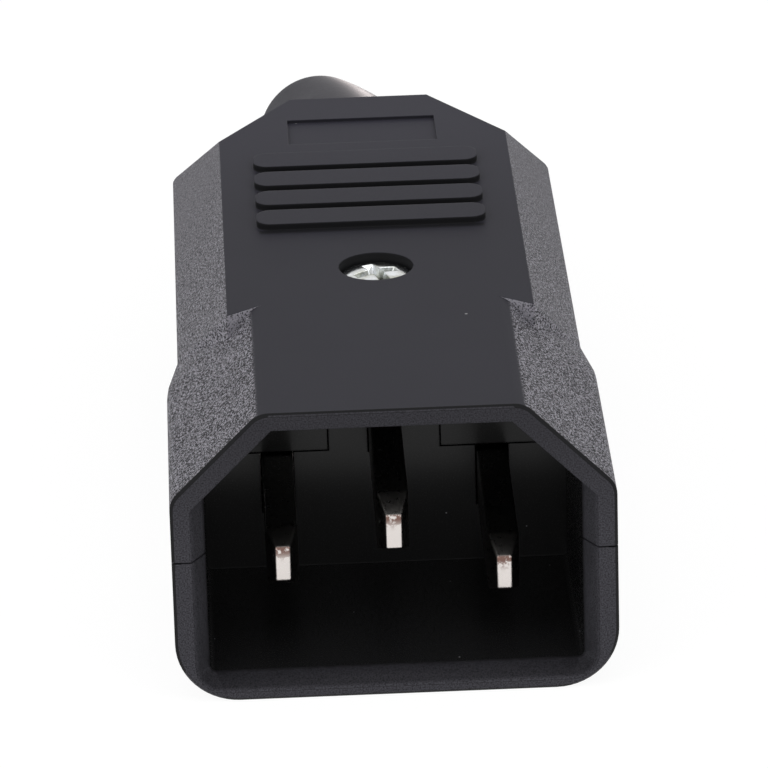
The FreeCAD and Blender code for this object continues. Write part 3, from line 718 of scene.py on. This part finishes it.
@dataclass
class Housing:
    """The two moulded halves, in millimetres and degrees.

    Against their solids they have full rear corners, and their ribs lie a little farther forward.
    """

    halves: tuple[str, ...] = ("upper", "lower")
    half_width: float = 13.25
    top: float = 9.9
    top_half: float = 9.9
    shoulder: float = 4.2
    round_start: float = -5.6
    end: float = 57.2
    rear_half: float = 4.8
    cut_start: float = 49.2
    corner_start: float = 54.5
    rib_half: float = 7.65
    rib_start: float = 32.7
    rib_end: float = 46.35
    rib_shift: float = -1.0
    corner_round: float = 0.8
    corner_steps: int = 3
    flat: float = 1.0
    near: float = 0.03
    plastic: HousingPlastic = HousingPlastic()

    def fill_corner(self, spot: Vector) -> Vector:
        """Move a point of a slanted rear corner out to the full corner.

        Args:
            spot: a point of either half.

        Returns:
            Its new place, or the same one where it lies on another face.
        """
        level = max(0.0, (spot.z - self.shoulder) / (self.top - self.shoulder))
        slope = (self.top_half - self.rear_half) / (self.end - self.cut_start)
        corner = self.half_width + (self.top_half - self.half_width) * level
        start = self.corner_start + (self.cut_start - self.corner_start) * level
        depth = (corner - abs(spot.x)) / slope
        if abs(spot.y - start - depth) > self.near:
            return spot
        if spot.z < self.round_start:
            return Vector((spot.x, self.end, spot.z))
        share = depth / (self.end - start)
        full_start = self.end + (self.cut_start - self.end) * level
        full_half = self.half_width + (self.rear_half - self.half_width) * level
        across = corner + (full_half - corner) * share
        along = full_start + (self.end - full_start) * share
        return Vector((math.copysign(across, spot.x), along, spot.z))

    def on_rib(self, spot: Vector) -> bool:
        """Whether a point belongs to a rib."""
        along_ribs = self.rib_start - self.near < spot.y < self.rib_end + self.near
        return along_ribs and abs(spot.x) < self.rib_half + self.near and spot.z > self.top - self.near

    def round_corners(self, shape: bmesh.types.BMesh) -> None:
        """Join the flat facets at the rear and round the bevels' outer corners.

        Args:
            shape: the mesh of either half.
        """
        rear = {vert for vert in shape.verts if vert.co.y > (self.cut_start - self.near) * MM}
        inner = [edge for edge in shape.edges if rear.issuperset(edge.verts)]
        bmesh.ops.dissolve_limit(shape, angle_limit=math.radians(self.flat), verts=list(rear), edges=inner)
        spots = [Vector((side * self.half_width, self.end, self.shoulder)) * MM for side in (-1, 1)]
        corners = [vert for vert in shape.verts
                   if any((vert.co - spot).length < self.near * MM for spot in spots)]
        bmesh.ops.bevel(shape, geom=corners, offset=self.corner_round * MM, segments=self.corner_steps,
                        profile=0.5, affect="VERTICES", material=-1, clamp_overlap=True)

    def build_half(self, half: str, material: bpy.types.Material) -> bpy.types.Object:
        """Copy one half's solid, fill out its rear corners and place its ribs.

        Args:
            half: which half it is.
            material: its finish.

        Returns:
            The finished half.
        """
        node = f"{half}_housing"
        shape = bmesh.new()
        shape.from_mesh(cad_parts[node].data)
        bmesh.ops.remove_doubles(shape, verts=shape.verts, dist=WELD)
        for vert in shape.verts:
            spot = self.fill_corner(vert.co / MM)
            if self.on_rib(spot):
                spot.y += self.rib_shift
            vert.co = spot * MM
        drop_thin(shape)
        self.round_corners(shape)
        piece = finish_mesh(shape, f"{half}_shell", node, material)
        normals = piece.modifiers.new("flat_faces", "WEIGHTED_NORMAL")
        normals.keep_sharp = True
        return piece

    def build(self) -> list[str]:
        """Model both halves in their plastic."""
        material = self.plastic.make()
        return [self.build_half(half, material).name for half in self.halves]


@dataclass
class Contacts:
    """The three pins with their terminal screws.

    Lengths are in millimetres, the flat turn in degrees and the sharp turn in radians.
    """

    lines: tuple[str, ...] = ("line", "neutral", "earth")
    taper_length: float = 3.0
    end_depth: float = 0.2
    end_round: float = 0.2
    end_steps: int = 3
    flat: float = 2.0
    sharp: float = 0.3
    nickel: PinPlate = PinPlate()

    def build_pin(self, line: str) -> bpy.types.Object:
        """Copy a pin's solid and round the edges of its end.

        Args:
            line: the conductor that the pin belongs to.

        Returns:
            The rounded pin.
        """
        node = f"{line}_pin"
        shape = bmesh.new()
        shape.from_mesh(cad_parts[node].data)
        bmesh.ops.remove_doubles(shape, verts=shape.verts, dist=WELD)
        bmesh.ops.dissolve_limit(shape, angle_limit=math.radians(self.flat), verts=shape.verts,
                                 edges=shape.edges)
        front = min(vert.co.y for vert in shape.verts)
        near = {vert for vert in shape.verts if vert.co.y < front + self.taper_length * MM}
        end = [vert for vert in near if vert.co.y < front + self.end_depth * MM]
        top = max(end, key=lambda vert: vert.co.z)
        tip = Vector((top.co.x, front, top.co.z)) / MM
        edges = [edge for edge in shape.edges
                 if near & set(edge.verts) and edge.calc_face_angle(0.0) > self.sharp]
        bmesh.ops.bevel(shape, geom=edges, offset=self.end_round * MM, segments=self.end_steps,
                        profile=0.5, affect="EDGES", material=-1, clamp_overlap=True)
        drop_thin(shape)
        bmesh.ops.recalc_face_normals(shape, faces=shape.faces)
        plate = self.nickel.make(f"{line}_plate", tip)
        return finish_mesh(shape, f"{line}_contact", node, plate)

    def build(self) -> list[str]:
        """Model the three pins."""
        return [self.build_pin(line).name for line in self.lines]

    def dress(self, zinc: bpy.types.Material) -> list[str]:
        """Plate the terminal screws.

        Args:
            zinc: the screws' finish.

        Returns:
            The names of the dressed solids.
        """
        return dress_nodes([f"{line}_terminal_screw" for line in self.lines], zinc)


@dataclass
class CordClamp:
    """The bar that grips the cord, with its two screws."""

    bar: str = "cord_clamp_bar"
    screws: tuple[str, ...] = ("left_clamp_screw", "right_clamp_screw")
    plastic: SoftSatin = SoftSatin("clamp_plastic", colour=(0.03, 0.03, 0.033), bloom=(0.045, 0.045, 0.05),
                                   roughness=0.5, gloss=0.35, grain=0.2)

    def dress(self, zinc: bpy.types.Material) -> list[str]:
        """Give the bar its plastic and the screws their plating.

        Args:
            zinc: the screws' finish.

        Returns:
            The names of the dressed solids.
        """
        return dress_nodes((self.bar,), self.plastic.make()) + dress_nodes(self.screws, zinc)


@dataclass
class ClosingScrew:
    """The cross-recess screw that closes the housing.

    It is drawn in millimetres from the top of its head, with its turn and its crease in degrees.
    """

    node: str = "housing_screw"
    head_height: float = 1.8
    dome: float = 0.3
    dome_steps: int = 8
    core: float = 1.12
    crest: float = 1.4
    sunk: float = 0.9
    pitch: float = 1.3
    pitch_steps: int = 24
    point: float = 1.6
    arm: float = 0.45
    reach: float = 1.7
    recess: float = 1.4
    taper: float = 0.5
    turn: float = 22.0
    facets: int = 64
    crease: float = 25.0
    zinc: PlatedMetal = PlatedMetal("head_zinc", colour=(0.76, 0.78, 0.80), stain=(0.40, 0.40, 0.33),
                                    roughness=0.17, shade_level=9.0)

    def profile(self, radius: float, length: float) -> list[Vector]:
        """The outline of half the screw, from the middle of the head to the point.

        Args:
            radius: the head's radius.
            length: the whole screw's length.

        Returns:
            The outline's corners.
        """
        ball = (radius ** 2 + self.dome ** 2) / (2 * self.dome)
        spread = math.asin(radius / ball)
        turns = [spread * step / self.dome_steps for step in range(self.dome_steps + 1)]
        head = [Vector((ball * math.sin(turn), 0, ball * (math.cos(turn) - 1))) for turn in turns]
        shank = [(radius, -self.head_height), (self.core, -self.head_height),
                 (self.core, self.point - length), (0, -length)]
        return head + [Vector((across, 0, up)) for across, up in shank]

    def cutter(self) -> bmesh.types.BMesh:
        """The driver's point: a cross that narrows downwards."""
        shape = bmesh.new()
        quarter = [Vector((across, along, self.dome)) for across, along in
                   ((self.arm, self.arm), (self.arm, self.reach), (-self.arm, self.reach))]
        quarter_turns = [Matrix.Rotation(math.tau / 4 * turn, 3, "Z") for turn in range(4)]
        corners = [turn @ corner for turn in quarter_turns for corner in quarter]
        face = shape.faces.new([shape.verts.new(corner) for corner in corners])
        deep = bmesh.ops.extrude_face_region(shape, geom=[face])
        verts = [item for item in deep["geom"] if isinstance(item, bmesh.types.BMVert)]
        bmesh.ops.translate(shape, verts=verts, vec=(0, 0, -self.dome - self.recess))
        bmesh.ops.scale(shape, verts=verts, vec=(self.taper, self.taper, 1))
        turned = Matrix.Rotation(math.radians(self.turn), 3, "Z")
        bmesh.ops.rotate(shape, cent=(0, 0, 0), matrix=turned, verts=shape.verts)
        bmesh.ops.recalc_face_normals(shape, faces=shape.faces)
        return shape

    def add_thread(self, shape: bmesh.types.BMesh, length: float) -> None:
        """Wind the thread round the core.

        Args:
            shape: the screw's mesh.
            length: the whole screw's length.
        """
        turns = int((length - self.head_height - self.point) / self.pitch)
        start = -self.head_height - self.pitch / 3
        sunk = self.core * self.sunk
        corners = [Vector((sunk, 0, start)), Vector((self.crest, 0, start - self.pitch / 4)),
                   Vector((sunk, 0, start - self.pitch / 2))]
        ridge = shape.faces.new([shape.verts.new(corner) for corner in corners])
        bmesh.ops.spin(shape, geom=[ridge], cent=(0, 0, 0), axis=(0, 0, 1), angle=math.tau * turns,
                       steps=self.pitch_steps * turns, dvec=(0, 0, -self.pitch / self.pitch_steps))
        bmesh.ops.recalc_face_normals(shape, faces=shape.faces)

    def build(self) -> bpy.types.Object:
        """Model the screw and put it in its counterbore.

        Returns:
            The screw.
        """
        low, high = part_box(self.node)
        radius = (high.x - low.x) / 2 / MM
        length = (high.z - low.z) / MM
        shape = bmesh.new()
        turn_profile(shape, self.profile(radius, length), Vector(), Vector((0, 0, 1)), self.facets)
        self.add_thread(shape, length)
        shape = cut_away(shape, self.cutter())
        seat = Vector(((low.x + high.x) / 2, (low.y + high.y) / 2, high.z))
        bmesh.ops.transform(shape, matrix=Matrix.Translation(seat) @ Matrix.Scale(MM, 4), verts=shape.verts)
        drop_thin(shape)
        return finish_mesh(shape, "closing_screw", self.node, self.zinc.make(), self.crease)


@dataclass
class StrainRelief:
    """The soft sleeve behind the housing, which hangs to one side, in millimetres and degrees."""

    node: str = "cord_boot"
    bore: float = 3.5
    collar: float = 6.5
    collar_length: float = 2.0
    neck: float = 4.95
    neck_length: float = 1.8
    flange: float = 7.45
    flange_length: float = 1.6
    flange_bevel: float = 0.3
    root: float = 7.4
    tip: float = 4.34
    tip_round: float = 0.84
    tip_steps: int = 5
    tail_length: float = 22.88
    bend: float = 14.0
    roll: float = 25.0
    bend_steps: int = 24
    facets: int = 72
    rubber: SoftSatin = SoftSatin("boot_rubber", colour=(0.026, 0.025, 0.034), bloom=(0.036, 0.034, 0.042),
                                  roughness=0.42, gloss=0.026, grain=0.3)

    def pivot(self, front: float) -> float:
        """Where the tail starts to bend, in the middle of the flange."""
        return front + self.collar_length + self.neck_length + self.flange_length / 2

    def profile(self, front: float) -> list[Vector]:
        """The sleeve's wall from the collar to the tip and back along the bore.

        Args:
            front: where the collar starts, along the plug.

        Returns:
            The corners of the wall's outline, a closed ring.
        """
        collar_back = front + self.collar_length
        flange_front = collar_back + self.neck_length
        flange_back = flange_front + self.flange_length
        pivot = self.pivot(front)
        end = pivot + self.tail_length
        slope = (self.tip - self.root) / self.tail_length
        outer = [(self.bore, front), (self.collar, front), (self.collar, collar_back),
                 (self.neck, collar_back), (self.neck, flange_front), (self.flange, flange_front),
                 (self.flange, flange_back - self.flange_bevel), (self.root, flange_back)]
        runs = [flange_back + (end - self.tip_round - flange_back) * step / self.bend_steps
                for step in range(1, self.bend_steps + 1)]
        tail = [(self.root + slope * (along - pivot), along) for along in runs]
        centre = tail[-1][0] - self.tip_round
        turns = [math.tau / 4 * step / self.tip_steps for step in range(1, self.tip_steps + 1)]
        nose = [(centre + self.tip_round * math.cos(turn),
                 end - self.tip_round + self.tip_round * math.sin(turn)) for turn in turns]
        inner = [(self.bore, along) for along in [end] + runs[::-1]]
        return [Vector((across, along, 0)) for across, along in outer + tail + nose + inner]

    def hang(self, shape: bmesh.types.BMesh, pivot: float) -> None:
        """Bend the tail evenly to one side.

        Args:
            shape: the straight sleeve.
            pivot: where the bend starts.
        """
        aside = Vector((-math.cos(math.radians(self.roll)), 0, -math.sin(math.radians(self.roll))))
        heading = Vector((0, 1, 0))
        axis = heading.cross(aside)
        turn = Matrix.Rotation(math.radians(self.bend) / self.bend_steps, 3, axis)
        stretch = self.tail_length / self.bend_steps
        rest = {vert: vert.co.y for vert in shape.verts}
        spot = Vector((0, pivot, 0))
        for step in range(self.bend_steps):
            beyond = [vert for vert, along in rest.items() if along > pivot + stretch * step]
            bmesh.ops.rotate(shape, cent=spot, matrix=turn, verts=beyond)
            heading = turn @ heading
            spot = spot + heading * stretch

    def build(self) -> bpy.types.Object:
        """Model the sleeve.

        Returns:
            The strain relief.
        """
        low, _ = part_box(self.node)
        front = low.y / MM
        shape = bmesh.new()
        turn_profile(shape, self.profile(front), Vector(), Vector((0, 1, 0)), self.facets, closed=True)
        self.hang(shape, self.pivot(front))
        bmesh.ops.scale(shape, vec=(MM, MM, MM), verts=shape.verts)
        return finish_mesh(shape, "strain_relief", self.node, self.rubber.make())


def cut_away(shape: bmesh.types.BMesh, cutter: bmesh.types.BMesh) -> bmesh.types.BMesh:
    """Cut one mesh out of another.

    Args:
        shape: the mesh that is cut, which is freed.
        cutter: what is taken away, which is freed.

    Returns:
        A new mesh with the cut.
    """
    pair = []
    for name, source in (("blank", shape), ("tool", cutter)):
        mesh = bpy.data.meshes.new(name)
        source.to_mesh(mesh)
        source.free()
        holder = bpy.data.objects.new(name, mesh)
        bpy.context.scene.collection.objects.link(holder)
        pair.append(holder)
    blank, tool = pair
    cut = blank.modifiers.new("cut", "BOOLEAN")
    cut.operation = "DIFFERENCE"
    cut.solver = "EXACT"
    cut.use_self = True
    cut.object = tool
    result = bmesh.new()
    result.from_object(blank, bpy.context.evaluated_depsgraph_get())
    for holder in pair:
        mesh = holder.data
        bpy.data.objects.remove(holder)
        bpy.data.meshes.remove(mesh)
    return result


def dress_nodes(nodes: Iterable[str], material: bpy.types.Material) -> list[str]:
    """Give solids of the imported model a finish.

    Args:
        nodes: the solids' names.
        material: their finish.

    Returns:
        The names again, for the log.
    """
    names = list(nodes)
    for name in names:
        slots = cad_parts[name].data.materials
        slots.clear()
        slots.append(material)
    return names


# studio

MIDDLE: Place = (0.0, 0.041, 0.0)
TAIL: Place = (-0.001, 0.071, 0.003)


@dataclass(frozen=True)
class Softbox:
    """A square area lamp that looks at the plug, in metres, with its spread in degrees."""

    name: str
    spot: Place
    side: float
    power: float
    aim: Place
    colour: Colour = (1.0, 1.0, 1.0)
    spread: float = 180.0

    def build(self) -> None:
        """Hang the lamp and turn it to its aim."""
        lamp = bpy.data.lights.new(self.name, "AREA")
        lamp.shape = "SQUARE"
        lamp.size = self.side
        lamp.energy = self.power
        lamp.color = self.colour
        lamp.spread = math.radians(self.spread)
        holder = bpy.data.objects.new(self.name, lamp)
        holder.location = self.spot
        heading = Vector(self.aim) - Vector(self.spot)
        holder.rotation_euler = heading.to_track_quat("-Z", "Y").to_euler()
        bpy.context.scene.collection.objects.link(holder)


@dataclass
class Studio:
    """A pale floor, a white surround and soft lamps on both sides, above and behind."""

    floor_half: float = 3.0
    floor_tone: float = 0.85
    white: float = 1.0
    shown_tone: float = 0.13
    glow: float = 0.92
    ambient: float = 0.4
    lamps: tuple[Softbox, ...] = (
        Softbox("left_softbox", spot=(-0.30, -0.20, 0.24), side=0.34, power=0.64, aim=MIDDLE),
        Softbox("right_softbox", spot=(0.30, -0.20, 0.24), side=0.34, power=0.54, aim=MIDDLE),
        Softbox("top_softbox", spot=(0.0, -0.05, 0.50), side=0.40, power=0.40, aim=MIDDLE),
        Softbox("back_softbox", spot=(0.075, 0.58, 0.006), side=0.012, power=0.00009, aim=TAIL,
                colour=(1.0, 0.90, 0.88), spread=2.6),
    )

    def seen(self, recipe: Recipe) -> Wire:
        """A mask of the rays that show the surround itself rather than its light."""
        path = recipe.add("ShaderNodeLightPath")
        camera, glossy, through = (Wire(recipe, path.outputs[name])
                                   for name in ("Is Camera Ray", "Is Glossy Ray", "Is Transmission Ray"))
        return camera | glossy | through

    def build_floor(self, level: float) -> None:
        """Lay the floor under the plug.

        Args:
            level: the floor's height.
        """
        shape = bmesh.new()
        bmesh.ops.create_grid(shape, x_segments=1, y_segments=1, size=self.floor_half,
                              matrix=Matrix.Translation((0, 0, level)))
        mesh = bpy.data.meshes.new("floor")
        shape.to_mesh(mesh)
        shape.free()
        recipe, material = Recipe.material("floor_paper")
        paper, shown = (recipe.wire("ShaderNodeBsdfDiffuse", 0, None, {"Color": (tone, tone, tone, 1.0)})
                        for tone in (self.floor_tone, self.shown_tone))
        glow = recipe.wire("ShaderNodeEmission", 0, None, {"Strength": self.glow})
        white = recipe.wire("ShaderNodeAddShader", 0, None, {0: shown, 1: glow})
        mixed = recipe.wire("ShaderNodeMixShader", 0, None, {0: self.seen(recipe), 1: paper, 2: white})
        recipe.add("ShaderNodeOutputMaterial", None, {"Surface": mixed})
        mesh.materials.append(material)
        floor = bpy.data.objects.new("floor", mesh)
        bpy.context.scene.collection.objects.link(floor)

    def build_surround(self) -> None:
        """Set the world: white where it is seen, soft grey where it lights."""
        world = bpy.data.worlds.new("surround")
        bpy.context.scene.world = world
        world.use_nodes = True
        recipe = Recipe(world.node_tree)
        strength = recipe.level(self.seen(recipe), self.ambient, self.white)
        sky = recipe.wire("ShaderNodeBackground", 0, None, {"Color": (1, 1, 1, 1), "Strength": strength})
        recipe.add("ShaderNodeOutputWorld", None, {"Surface": sky})

    def build(self, level: float) -> None:
        """Build the floor, the surround and the lamps.

        Args:
            level: the floor's height.
        """
        self.build_floor(level)
        self.build_surround()
        for lamp in self.lamps:
            lamp.build()
        bpy.context.scene.view_settings.view_transform = "Standard"


@dataclass
class PhotoCamera:
    """The camera at the photograph's angle, in millimetres and degrees, with its near clip in metres."""

    focal: float = 296.88
    sensor: float = 36.0
    pitch: float = 22.469
    yaw: float = 1.650
    roll: float = 1.626
    across: float = 0.954
    rise: float = -19.626
    distance: float = 399.99
    clip: float = 0.01

    def build(self, level: float) -> None:
        """Set up the camera.

        Args:
            level: the floor's height, from which the camera's place is measured.
        """
        pitch, yaw, roll = (math.radians(turn) for turn in (self.pitch, self.yaw, self.roll))
        side = Vector((math.cos(yaw), -math.sin(yaw), 0))
        back = Vector((math.sin(yaw), math.cos(yaw), 0))
        over = back * math.sin(pitch) + Vector((0, 0, math.cos(pitch)))
        ahead = back * math.cos(pitch) - Vector((0, 0, math.sin(pitch)))
        right = side * math.cos(roll) - over * math.sin(roll)
        top = side * math.sin(roll) + over * math.cos(roll)
        spot = -(right * self.across + top * self.rise + ahead * self.distance) * MM
        spot.z += level
        turned = Matrix((right, top, -ahead)).transposed().to_4x4()
        data = bpy.data.cameras.new("photo_camera")
        data.lens = self.focal
        data.sensor_width = self.sensor
        data.sensor_fit = "HORIZONTAL"
        data.clip_start = self.clip
        camera = bpy.data.objects.new("photo_camera", data)
        camera.matrix_world = Matrix.Translation(spot) @ turned
        bpy.context.scene.collection.objects.link(camera)
        bpy.context.scene.camera = camera


def main() -> None:
    """Build the pieces in order, then the studio and the camera."""
    logging.basicConfig(level=logging.INFO, format="%(message)s")
    zinc = INNER_ZINC.make()
    contacts = Contacts()
    steps: tuple[tuple[str, Callable[[], object]], ...] = (
        ("housing", Housing().build),
        ("pins", contacts.build),
        ("terminal screws", lambda: contacts.dress(zinc)),
        ("cord clamp", lambda: CordClamp().dress(zinc)),
        ("closing screw", lambda: ClosingScrew().build().name),
        ("strain relief", lambda: StrainRelief().build().name),
    )
    for name, step in steps:
        LOG.info("%s: %s", name, step())
    floor_level = CAD_BOX[0].z
    Studio().build(floor_level)
    PhotoCamera().build(floor_level)


if __name__ == "__main__":
    main()
